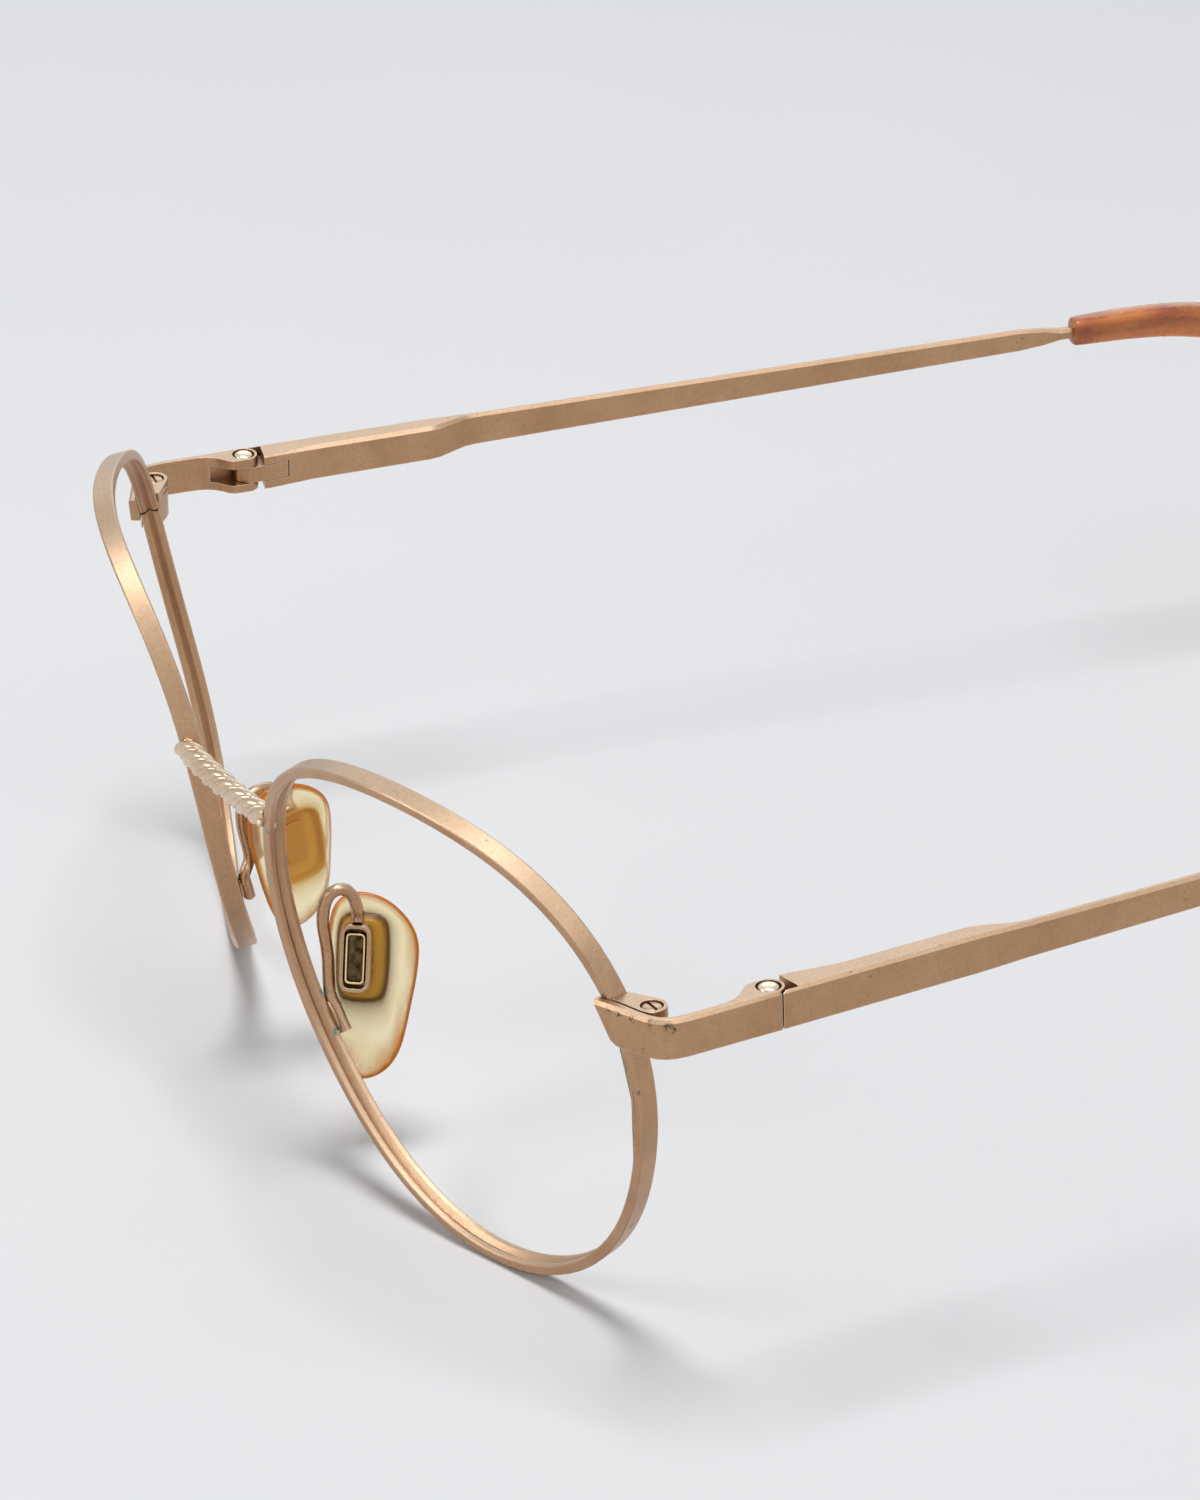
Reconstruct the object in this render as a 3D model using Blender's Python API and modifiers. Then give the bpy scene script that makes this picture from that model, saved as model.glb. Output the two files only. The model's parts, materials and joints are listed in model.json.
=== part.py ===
"""Round wire eyeglasses with a twisted rope bridge, rocking nose pads and sprung temple hinges.

The front faces -Y, the temples run back along +Y, and the wearer's left side is +X.
Named sizes are millimetres. The object stands on z = 0: on its two rims and on the ends of its tips.
"""
import math

import bmesh
import bpy
from mathutils import Matrix, Vector

MM = 0.001

# Rims: a band bent to a soft round, with its sides drawn back a little.
RIM_RADIUS = 24.96
RIM_OVAL = 0.0099
RIM_PEAR = -0.0218
RIM_PANTO = 0.0153
RIM_SKEW = 0.0212
RIM_THICK = 1.0
RIM_DEPTH = 1.95
GROOVE_WIDE = 0.9
GROOVE_DEEP = 0.4
RIM_EDGE = 0.11
RIM_CENTRE_X = 32.41
RIM_SPLIT_ANGLE = 23.6
RIM_SPLIT_GAP = 0.18
RIM_STATIONS = 62

# How each rim stands and is bent, by side: both are a little out of true, as worn wire frames are.
LEFT, RIGHT = 1, -1
FACE_WRAP = {LEFT: 17.4, RIGHT: 17.0}
FACE_TILT = {LEFT: 11.3, RIGHT: 13.1}
RIM_BOW = {LEFT: (1.57, 0.02, -0.53, -0.06), RIGHT: (0.99, 0.31, -0.17, 0.19)}
RIM_WAVE = {LEFT: (-0.14, 0.0), RIGHT: (-0.29, -0.25)}
RIM_SHIFT = {LEFT: Vector((0, 0, 0)), RIGHT: Vector((-0.1, 0.35, -0.25))}

# Hinge: where the pivot stands, and how the temple leaves it.
PIVOT_X = 59.2
PIVOT_Y = 17.3
PIVOT_RISE = 10.1
TEMPLE_SPLAY = 4.19
TEMPLE_RISE = 1.0
HINGE_LEAN = 3.2
HEAD_RADIUS = 0.95
SHANK_RADIUS = 0.42

# The strap and the ear, in the hinge's own frame: x outward, y back, z up, from the pivot.
STRAP_TALL = 3.6
STRAP_THICK = 0.80
OUTER = 1.48
EAR_RADIUS = 1.43
EAR_FLAT = 0.11
EAR_INNER = EAR_FLAT - EAR_RADIUS
PLATE_INNER = 1.05
LEAF_THICK = 0.90
KNUCKLE_RADIUS = 0.95
SEAM_AT = 0.45
BLOCK_X = -2.08
BLOCK_Y = -9.85
BLOCK_ROUND = 1.33

# Temples, measured back from the pivot.
BOSS_END = 20.4
STEP_END = 23.8
TIP_START = 90.3
BEND_START = 92.0
BEND_LONG = 30.0
BEND_ANGLE = 62.0
CORE_RADIUS = 0.55
CORE_END = 126.0
BORE_X = 0.31
BORE_RADIUS = 0.73
BORE_END = 16.0

# Bridge: a rope of two thick strands, with a finer one laid in each furrow.
STRAND_RADIUS = 0.62
STRAND_REACH = 0.55
FINE_RADIUS = 0.30
ROPE_STRANDS = 2
ROPE_LEAD = 5.6
BRIDGE_RIM_ANGLE = {LEFT: 157.6, RIGHT: 162.6}
BRIDGE_FORWARD = 0.35

# Nose pads and their mounts. The right one has been bent up and turned to the side.
PAD_SPLAY = {LEFT: 18.0, RIGHT: 9.4}
PAD_TURN = {LEFT: 32.0, RIGHT: 6.3}
PAD_ROLL = {LEFT: 0.0, RIGHT: -11.5}
PAD_CENTRE = {LEFT: Vector((10.1, 0.45, -6.4)), RIGHT: Vector((11.02, 1.87, -3.70))}
PLATE_SHIFT = {LEFT: (0.0, 0.0), RIGHT: (-1.5, 2.2)}
ARM_FOOT = {LEFT: (214.0, 211.0, 208.0, 205.0), RIGHT: (203.0, 200.6, 198.2, 195.8)}
ARM_LOOP = {
    LEFT: (
        (9.00, -1.82, -6.60), (9.00, -2.05, -4.50), (9.06, -2.28, -2.90), (9.16, -2.22, -1.30), (9.30, -1.80, -0.05),
        (9.42, -0.95, 0.50), (9.50, -0.05, 0.25), (9.50, 0.55, -0.65), (9.45, 0.88, -1.75),
    ),
    RIGHT: (
        (9.20, -2.20, -5.17), (9.15, -2.45, -3.50), (9.15, -2.84, -1.60), (9.20, -2.85, 0.05), (9.40, -2.15, 1.10),
        (9.70, -1.10, 1.50), (10.00, 0.00, 1.40), (10.25, 0.75, 0.95),
    ),
}
BOX_WIDE = 2.95
BOX_LONG = 6.35
BOX_TALL = 1.7
BOX_WALL = 0.43
INSERT_SIDE_GAP = 0.105
INSERT_END_GAP = 0.37
INSERT_WIDE = BOX_WIDE - 2 * (BOX_WALL + INSERT_SIDE_GAP)
INSERT_LONG = BOX_LONG - 2 * (BOX_WALL + INSERT_END_GAP)
PIN_DEPTH = -0.5
ARM_RADIUS = 0.58

HAIR = 0.06


def lerp(a, b, f):
    return a + (b - a) * f


def rim_radius(theta):
    """Outer radius of the rim, theta from the temple side, counting up."""
    swell = 1.0 + RIM_OVAL * math.cos(2 * theta) + RIM_PEAR * math.cos(3 * theta)
    swell += RIM_PANTO * math.sin(3 * theta) + RIM_SKEW * math.sin(4 * theta)
    return RIM_RADIUS * swell


def rim_tilt(side):
    """Turns the rim frame, with x to the temple and z up, into its half of the front."""
    wrap = Matrix.Rotation(math.radians(FACE_WRAP[side]), 4, "Z")
    return wrap @ Matrix.Rotation(math.radians(FACE_TILT[side]), 4, "X")


def rim_flat(side, theta, inset, forward):
    """A point of the rim in its own frame, set in from the outer face."""
    step = 0.001
    here = Vector((math.cos(theta), 0, math.sin(theta))) * rim_radius(theta)
    after = Vector((math.cos(theta + step), 0, math.sin(theta + step))) * rim_radius(theta + step)
    along = (after - here).normalized()
    inward = Vector((-along.z, 0, along.x))
    two, two_more, three, three_more = RIM_BOW[side]
    four, four_more = RIM_WAVE[side]
    bow = two * math.cos(2 * theta) + two_more * math.sin(2 * theta)
    bow += three * math.cos(3 * theta) + three_more * math.sin(3 * theta)
    bow += four * math.cos(4 * theta) + four_more * math.sin(4 * theta)
    return here + inward * inset + Vector((0, bow - forward, 0))


def rim_height():
    """How high the left rim's centre must be for its lowest point to touch the table."""
    tilt = rim_tilt(LEFT)
    lowest = 0.0
    for i in range(720):
        theta = math.radians(i / 2)
        for forward in (-RIM_DEPTH / 2, RIM_DEPTH / 2):
            lowest = min(lowest, (tilt @ rim_flat(LEFT, theta, 0, forward)).z)
    return -lowest


RIM_CENTRE_Z = rim_height()
PIVOT = Vector((PIVOT_X, PIVOT_Y, RIM_CENTRE_Z + PIVOT_RISE))
HALF = STRAP_TALL / 2


def rim_point(side, theta, inset, forward):
    """The same point in place, given for the wearer's left, so the right is mirrored when made."""
    centre = Vector((RIM_CENTRE_X, 0, RIM_CENTRE_Z)) + RIM_SHIFT[side]
    return rim_tilt(side) @ rim_flat(side, theta, inset, forward) + centre


def hinge_frame():
    """Places what is drawn about the pivot: the temple turns in, rises, and folds a little downward."""
    splay = Matrix.Rotation(math.radians(TEMPLE_SPLAY), 4, "Z")
    rise = Matrix.Rotation(math.radians(TEMPLE_RISE), 4, "X")
    lean = Matrix.Rotation(math.radians(-HINGE_LEAN), 4, "Y")
    return Matrix.Translation(PIVOT) @ splay @ rise @ lean


def loft(rings, closed=False):
    """A skin through rings of points, each ring the same length, with flat ends unless it closes on itself."""
    bm = bmesh.new()
    loops = [[bm.verts.new(point) for point in ring] for ring in rings]
    after = loops[1:] + loops[:1] if closed else loops[1:]
    for one, two in zip(loops, after):
        for j in range(len(one)):
            k = (j + 1) % len(one)
            bm.faces.new((one[j], one[k], two[k], two[j]))
    if not closed:
        bm.faces.new(loops[0])
        bm.faces.new(loops[-1])
    return bm


def prism(outline, low, high):
    """A plan outline carried straight up."""
    bm = bmesh.new()
    base = bm.faces.new([bm.verts.new((x, y, low)) for x, y in outline])
    grown = bmesh.ops.extrude_face_region(bm, geom=[base])
    top = [item for item in grown["geom"] if isinstance(item, bmesh.types.BMVert)]
    bmesh.ops.translate(bm, verts=top, vec=(0, 0, high - low))
    if base.is_valid and base.calc_center_median().z > low:
        base.normal_flip()
    if not any(face.calc_center_median().z < low + 1e-6 for face in bm.faces):
        bmesh.ops.contextual_create(bm, geom=[edge for edge in bm.edges if edge.is_boundary])
    return bm


def box(low, high):
    """A plain block between two corners."""
    bm = bmesh.new()
    bmesh.ops.create_cube(bm, size=1.0)
    size = Vector(high) - Vector(low)
    bmesh.ops.scale(bm, verts=bm.verts, vec=size)
    bmesh.ops.translate(bm, verts=bm.verts, vec=(Vector(low) + Vector(high)) / 2)
    return bm


def circle(radius, count):
    step = 2 * math.pi / count
    return [(radius * math.cos(step * i), radius * math.sin(step * i)) for i in range(count)]


def turned(profile, centre, axis, count):
    """A profile of (radius, height) pairs spun about an axis, closed by flat ends."""
    axis = Vector(axis).normalized()
    side = axis.orthogonal().normalized()
    bm = bmesh.new()
    points = [bm.verts.new(Vector(centre) + axis * height + side * radius) for radius, height in profile]
    edges = [bm.edges.new(pair) for pair in zip(points, points[1:])]
    bmesh.ops.spin(bm, geom=points + edges, cent=Vector(centre), axis=axis, angle=2 * math.pi, steps=count, use_merge=True)
    bmesh.ops.remove_doubles(bm, verts=bm.verts, dist=0.0001)
    bmesh.ops.holes_fill(bm, edges=[edge for edge in bm.edges if edge.is_boundary], sides=0)
    return bm


def outward(bm):
    """Recalculates the normals of a closed mesh so that its volume is positive."""
    bmesh.ops.recalc_face_normals(bm, faces=bm.faces)
    if bm.calc_volume(signed=True) < 0:
        bmesh.ops.reverse_faces(bm, faces=bm.faces)


def make(name, bm, material, side=LEFT, frame=None, pivot=None, collection=None):
    """One object from a form in millimetres. The right side is mirrored."""
    origin = Vector((0, 0, 0)) if pivot is None else Vector(pivot)
    place = Matrix.Translation(-origin)
    if frame is not None:
        place = place @ frame
    size = Matrix.Diagonal((side * MM, MM, MM, 1.0))
    bm.transform(size @ place)
    outward(bm)
    mesh = bpy.data.meshes.new(name)
    bm.to_mesh(mesh)
    bm.free()
    obj = bpy.data.objects.new(name, mesh)
    obj.location = (origin.x * side * MM, origin.y * MM, origin.z * MM)
    if material is not None:
        mesh.materials.append(material)
    (collection or PARTS).objects.link(obj)
    return obj


def cut(obj, cutter):
    """Takes the cutter away from the object."""
    modifier = obj.modifiers.new("cut_" + cutter.name, "BOOLEAN")
    modifier.operation = "DIFFERENCE"
    modifier.solver = "EXACT"
    modifier.object = cutter
    return modifier


def material(name, colour, metallic, roughness, transmission=0.0):
    made = bpy.data.materials.new(name)
    made.use_nodes = True
    shader = made.node_tree.nodes["Principled BSDF"]
    shader.inputs["Base Color"].default_value = (*colour, 1.0)
    shader.inputs["Metallic"].default_value = metallic
    shader.inputs["Roughness"].default_value = roughness
    shader.inputs["Transmission Weight"].default_value = transmission
    made.diffuse_color = (*colour, 1.0)
    return made


def start_scene():
    for obj in list(bpy.data.objects):
        bpy.data.objects.remove(obj, do_unlink=True)
    scene = bpy.context.scene
    parts = bpy.data.collections.new("round_eyeglasses")
    cutters = bpy.data.collections.new("cutters")
    cutters.hide_render = True
    scene.collection.children.link(parts)
    scene.collection.children.link(cutters)
    return parts, cutters


def make_cutter(name, shape, side, frame=None):
    obj = make(name, shape, None, side, frame, collection=CUTTERS)
    obj.hide_render = True
    obj.display_type = "WIRE"
    return obj


# Rims and what closes them


def rim_section():
    """The band's section as (inset, forward) pairs, with the lens groove on its inner face."""
    half = RIM_DEPTH / 2
    edge = RIM_EDGE
    groove = GROOVE_WIDE / 2
    return [
        (0, edge - half),
        (0, half - edge),
        (edge, half),
        (RIM_THICK - edge, half),
        (RIM_THICK, half - edge),
        (RIM_THICK, groove),
        (RIM_THICK - GROOVE_DEEP, 0),
        (RIM_THICK, -groove),
        (RIM_THICK, edge - half),
        (RIM_THICK - edge, -half),
        (edge, -half),
    ]


def rim_shape(side):
    split = math.radians(RIM_SPLIT_ANGLE)
    gap = RIM_SPLIT_GAP / rim_radius(split) / 2
    rings = []
    for i in range(RIM_STATIONS):
        theta = lerp(split + gap, split + 2 * math.pi - gap, i / (RIM_STATIONS - 1))
        rings.append([rim_point(side, theta, inset, forward) for inset, forward in rim_section()])
    return loft(rings)


def rim_envelope(side, low, high, spare=HAIR):
    """A stretch of plain band a little larger than the rim, for fitting the pieces soldered to it."""
    half = RIM_DEPTH / 2 + spare
    corners = [(-spare, -half), (-spare, half), (RIM_THICK + spare, half), (RIM_THICK + spare, -half)]
    rings = []
    steps = round((high - low) / 3.5)
    for i in range(steps + 1):
        theta = math.radians(lerp(low, high, i / steps))
        rings.append([rim_point(side, theta, inset, forward) for inset, forward in corners])
    return loft(rings)


def block_outline(left):
    """Plan of a closing block, in the corner between the rim and the strap, round about its screw."""
    right = BLOCK_X + BLOCK_ROUND
    front = -11.81 + (left + 4.45) * 0.381
    points = [(left + 0.35, front), (-4.10, -11.81), (-1.85, -11.13), (right - 0.22, -10.72), (right, -10.45)]
    for i in range(7):
        angle = math.radians(110) * i / 6
        points.append((BLOCK_X + BLOCK_ROUND * math.cos(angle), BLOCK_Y + BLOCK_ROUND * math.sin(angle)))
    points += [(BLOCK_X - 1.25, BLOCK_Y + 0.80), (left, -10.28)]
    return points


def build_closing(side, word):
    metal = MATERIALS["frame"]
    top = HALF + 0.05
    low = -HALF - 0.25
    middle = 0.82
    envelope = CUTTERS.objects["rim_by_hinge_" + word]
    at = (BLOCK_X, BLOCK_Y, 0)
    upper_shape = prism(block_outline(-5.25), middle + 0.10, top)
    lower_shape = prism(block_outline(-4.85), low, middle - 0.10)
    hole = [(0.50, low - 1), (0.50, top - 0.48), (1.00, top - 0.48), (1.00, top + 1)]
    drill = make_cutter("closing_drill_" + word, turned(hole, at, (0, 0, 1), 20), side, HINGE)
    upper = make("closing_block_upper_" + word, upper_shape, metal, side, HINGE)
    lower = make("closing_block_lower_" + word, lower_shape, metal, side, HINGE)
    for block in (upper, lower):
        cut(block, envelope)
        cut(block, drill)
        soften(block, 0.10)
    screw = [(0.42, low + 0.15), (0.42, top - 0.42), (0.88, top - 0.42), (0.88, top - 0.16), (0.72, top - 0.06)]
    screw_obj = make("closing_screw_" + word, turned(screw, at, (0, 0, 1), 20), MATERIALS["steel"], side, HINGE)
    slot = box((BLOCK_X - 1.5, BLOCK_Y - 0.14, top - 0.30), (BLOCK_X + 1.5, BLOCK_Y + 0.14, top + 0.5))
    cut(screw_obj, make_cutter("closing_slot_" + word, slot, side, HINGE))


def soften(obj, width):
    """A narrow bevel on the sharp edges."""
    modifier = obj.modifiers.new("soften", "BEVEL")
    modifier.width = width * MM
    modifier.segments = 1
    modifier.limit_method = "ANGLE"
    modifier.angle_limit = math.radians(50)
    modifier.harden_normals = False


# Ends of the front, with the hinge ears


def strap_outer():
    """Plan of the strap's outer face, from its free end round the corner to the seam."""
    return [
        (-7.09, -14.13),
        (-3.77, -12.78),
        (-1.53, -11.98),
        (-0.35, -11.50),
        (0.40, -11.02),
        (1.00, -10.30),
        (1.33, -9.40),
        (1.45, -8.30),
        (OUTER, -6.50),
        (OUTER, -3.50),
        (OUTER, SEAM_AT),
    ]


def ear_end():
    """The round end of the ear about the pivot, from the seam to the inner side."""
    points = []
    start = math.asin(SEAM_AT / EAR_RADIUS)
    finish = math.acos(EAR_INNER / EAR_RADIUS)
    for i in range(9):
        angle = lerp(start, finish, i / 8)
        points.append((EAR_RADIUS * math.cos(angle), EAR_RADIUS * math.sin(angle)))
    return points


def strap_inner():
    """Plan of the inner face, from the ear forward to the free end."""
    inner = OUTER - STRAP_THICK
    return [
        (EAR_INNER, -0.90),
        (EAR_INNER + 0.08, -1.50),
        (EAR_INNER + 0.40, -1.95),
        (EAR_INNER + 0.90, -2.40),
        (0.05, -2.92),
        (0.40, -3.60),
        (0.60, -4.40),
        (inner, -5.60),
        (inner, -8.10),
        (inner - 0.10, -9.13),
        (0.38, -9.79),
        (-0.03, -10.35),
        (-0.72, -10.79),
        (-1.81, -11.23),
        (-4.10, -11.92),
        (-7.25, -13.12),
    ]


def inset_outline(outline, amounts):
    """Moves each point of a plan outline inward by its own amount."""
    moved = []
    count = len(outline)
    for i, (x, y) in enumerate(outline):
        before = Vector(outline[i - 1])
        after = Vector(outline[(i + 1) % count])
        here = Vector((x, y))
        one = (here - before).normalized()
        two = (after - here).normalized()
        normal = Vector((-(one.y + two.y), one.x + two.x)).normalized()
        moved.append((x + normal.x * amounts[i], y + normal.y * amounts[i]))
    return moved


def end_piece_shape():
    outer = strap_outer()
    outline = outer + ear_end() + strap_inner()
    count = len(outline)
    small = [0.10] * count
    none = [0.0] * count
    brow = [0.30] * len(outer) + [0.08] * (count - len(outer))
    levels = [(0.0, small), (0.10, none), (STRAP_TALL - 0.32, none), (STRAP_TALL, brow)]
    rings = []
    for level, amounts in levels:
        rings.append([Vector((x, y, level - HALF)) for x, y in inset_outline(outline, amounts)])
    return loft(rings)


def strap_trim():
    """A wedge that cuts the strap's free end on the slant, with its lower corner off."""
    corner = Vector((-4.91, -13.24, 0))
    along = Vector((0.927, 0.377, 0))
    across = Vector((0.377, -0.927, 0))
    outline = [(-4.0, 3.0), (-1.42, 3.0), (1.0, -1.35), (3.7, -2.85), (-4.0, -2.85)]
    rings = []
    for reach in (-2.5, 2.0):
        rings.append([corner + along * u + across * reach + Vector((0, 0, up)) for u, up in outline])
    return loft(rings)


def build_end_piece(side, word):
    obj = make("end_piece_" + word, end_piece_shape(), MATERIALS["frame"], side, HINGE)
    cut(obj, make_cutter("strap_trim_" + word, strap_trim(), side, HINGE))
    cut(obj, CUTTERS.objects["rim_by_hinge_" + word])
    half = HALF - LEAF_THICK
    slot = box((-4.0, -3.4, -half), (PLATE_INNER, 3.0, half))
    cut(obj, make_cutter("ear_slot_" + word, slot, side, HINGE))
    wide = SHANK_RADIUS + 0.05
    drill = [(wide, -4.0), (wide, HALF - 0.38), (HEAD_RADIUS + 0.17, HALF - 0.38), (HEAD_RADIUS + 0.17, HALF + 1)]
    cut(obj, make_cutter("pivot_drill_" + word, turned(drill, (0, 0, 0), (0, 0, 1), 24), side, HINGE))


def build_pivot_screw(side, word):
    profile = [(SHANK_RADIUS, 0.05 - HALF), (SHANK_RADIUS, HALF - 0.32)]
    profile += [(HEAD_RADIUS, HALF - 0.32), (HEAD_RADIUS, HALF - 0.16), (HEAD_RADIUS - 0.12, HALF + 0.02)]
    profile += [(HEAD_RADIUS - 0.42, HALF + 0.14), (0.16, HALF + 0.18)]
    shape = turned(profile, (0, 0, 0), (0, 0, 1), 24)
    make("pivot_screw_" + word, shape, MATERIALS["steel"], side, HINGE)


# Temples


def temple_axis(distance):
    """Where the temple's middle line is at a distance back from the pivot, and how steeply it falls."""
    y, z, pitch = min(distance, BEND_START), 0.0, 0.0
    travelled = BEND_START
    while travelled < distance:
        step = min(0.25, distance - travelled)
        share = min((travelled + step / 2 - BEND_START) / BEND_LONG, 1.0)
        pitch = math.radians(BEND_ANGLE) * share * share
        y += step * math.cos(pitch)
        z -= step * math.sin(pitch)
        travelled += step
    inward = 0.0008 * max(distance - BEND_START, 0.0) ** 2
    return Vector((-inward, y, z)), pitch


def temple_length():
    """How long the temple must be for the end of its tip to rest on the table."""
    distance = BEND_START + BEND_LONG
    while distance < 2 * BEND_START:
        centre, pitch = temple_axis(distance)
        end = centre + Vector((0, 0, -0.60 * math.cos(pitch)))
        if (HINGE @ end).z < 0.05:
            break
        distance += 0.1
    return distance


def temple_ring(distance, outer, thick, half, corner, inner=(0.1, 0.1)):
    """An eight-sided section. Corner bevels the top outer edge, inner the top inner edge."""
    centre, pitch = temple_axis(distance)
    up = Vector((0, math.sin(pitch), math.cos(pitch)))
    left = outer - thick
    small = 0.10
    pairs = [
        (outer, small - half),
        (outer, half - corner),
        (outer - corner, half),
        (left + inner[0], half),
        (left, half - inner[1]),
        (left, small - half),
        (left + small, -half),
        (outer - small, -half),
    ]
    return [Vector((x + centre.x, centre.y, centre.z)) + up * w for x, w in pairs]


def wire_ring(distance):
    """A section of the core wire, with the eight points of a temple section."""
    middle = OUTER - 0.42
    corner = CORE_RADIUS * 0.59
    return temple_ring(distance, middle + CORE_RADIUS, CORE_RADIUS * 2, CORE_RADIUS, corner, (corner, corner))


def temple_shape():
    rings = [
        temple_ring(SEAM_AT + 0.12, OUTER, 2.80, HALF, 0.30),
        temple_ring(2.4, OUTER, 2.78, HALF, 0.30),
        temple_ring(7.0, OUTER, 2.33, HALF, 0.30, (0.42, 0.30)),
        temple_ring(BOSS_END - 1.0, OUTER, 2.30, HALF - 0.02, 0.30, (0.42, 0.30)),
        temple_ring(BOSS_END, OUTER, 2.16, HALF - 0.04, 0.30, (0.40, 0.30)),
        temple_ring(STEP_END - 0.4, OUTER, 0.98, HALF - 0.12, 0.30, (0.30, 0.26)),
        temple_ring(STEP_END + 0.8, OUTER, 0.84, HALF - 0.16, 0.30, (0.26, 0.24)),
        temple_ring(31.0, OUTER, 0.84, 1.57, 0.28, (0.26, 0.24)),
        temple_ring(41.0, OUTER, 0.84, 1.45, 0.28, (0.26, 0.24)),
        temple_ring(60.0, OUTER, 0.84, 1.29, 0.28, (0.26, 0.24)),
        temple_ring(84.5, OUTER, 0.84, 1.13, 0.26, (0.26, 0.24)),
        temple_ring(87.2, OUTER, 0.90, 0.88, 0.26, (0.26, 0.24)),
        wire_ring(89.0),
    ]
    stops = [BEND_START + BEND_LONG * i / 8 for i in range(9)] + [CORE_END]
    rings += [wire_ring(distance) for distance in stops]
    return loft(rings)


def build_temple(side, word):
    obj = make("temple_" + word, temple_shape(), MATERIALS["frame"], side, HINGE, PIVOT)
    cove = turned([(EAR_RADIUS + 0.12, -4), (EAR_RADIUS + 0.12, 4)], (0, 0, 0), (0, 0, 1), 32)
    cut(obj, make_cutter("temple_cove_" + word, cove, side, HINGE))
    notch = [(1.25, 0.0), (1.27, 2.10), (-1.30, 1.78), (-3.0, 1.60), (-3.0, -1.0)]
    cut(obj, make_cutter("temple_notch_" + word, prism(notch, -4, 4), side, HINGE))
    reach = HALF - LEAF_THICK
    pocket = box((-4.0, -1.0, -reach), (PLATE_INNER, 4.4, reach))
    cut(obj, make_cutter("temple_pocket_" + word, pocket, side, HINGE))
    bore = [(0.43, 4.2), (0.43, 5.4), (BORE_RADIUS, 5.4), (BORE_RADIUS, BORE_END)]
    bore_shape = turned(bore, (BORE_X, 0, 0), (0, 1, 0), 16)
    cut(obj, make_cutter("temple_bore_" + word, bore_shape, side, HINGE))


def slider_shape():
    """The sprung knuckle: a round nose about the pivot, and a square block back to the seam."""
    half = HALF - LEAF_THICK - HAIR
    outline = [(KNUCKLE_RADIUS, 4.3), (EAR_INNER + 0.23, 4.3), (EAR_INNER, 2.2), (EAR_INNER, 0.20)]
    for i in range(9):
        angle = lerp(math.radians(205), math.radians(360), i / 8)
        outline.append((KNUCKLE_RADIUS * math.cos(angle), KNUCKLE_RADIUS * math.sin(angle)))
    return prism(outline, -half, half)


def build_slider(side, word):
    axle = SHANK_RADIUS + 0.04
    knuckle = make("hinge_slider_" + word, slider_shape(), MATERIALS["frame"], side, HINGE, PIVOT)
    drill = turned([(axle, -3), (axle, 3)], (0, 0, 0), (0, 0, 1), 24)
    cut(knuckle, make_cutter("slider_drill_" + word, drill, side, HINGE))
    at = (BORE_X, 0, 0)
    steel = MATERIALS["steel"]
    stem = turned([(0.33, 4.36), (0.33, 13.4)], at, (0, 1, 0), 12)
    make("slider_stem_" + word, stem, steel, side, HINGE, PIVOT)
    make("slider_collar_" + word, ring_shape(0.38, 0.64, 12.2, 13.1, at), steel, side, HINGE, PIVOT)
    make("hinge_spring_" + word, spring_shape(at), MATERIALS["spring"], side, HINGE, PIVOT)


def ring_shape(inner, outer, low, high, centre):
    """A washer along the temple."""
    rings = []
    for radius, height in ((inner, low), (outer, low), (outer, high), (inner, high)):
        rings.append([Vector(centre) + Vector((x, height, z)) for x, z in circle(radius, 16)])
    return loft(rings, closed=True)


def spring_shape(centre):
    """A coil spring round the slider's stem."""
    mean, wire, start, finish, turns = 0.52, 0.09, 5.65, 12.0, 8
    rings = []
    steps = turns * 8
    for i in range(steps + 1):
        angle = 2 * math.pi * turns * i / steps
        height = lerp(start, finish, i / steps)
        radial = Vector((math.cos(angle), 0, math.sin(angle)))
        hub = Vector(centre) + Vector((0, height, 0)) + radial * mean
        rings.append([hub + radial * x + Vector((0, y, 0)) for x, y in circle(wire, 5)])
    return loft(rings)


def tip_ring(distance, wide, half, count=12):
    """A soft rectangular section of the temple tip."""
    centre, pitch = temple_axis(distance)
    up = Vector((0, math.sin(pitch), math.cos(pitch)))
    middle = Vector((OUTER - 0.42 + centre.x, centre.y, centre.z))
    ring = []
    for i in range(count):
        angle = 2 * math.pi * (i + 0.5) / count
        x = math.copysign(abs(math.cos(angle)) ** 0.55, math.cos(angle)) * wide
        w = math.copysign(abs(math.sin(angle)) ** 0.55, math.sin(angle)) * half
        ring.append(middle + Vector((x, 0, 0)) + up * w)
    return ring


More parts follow.
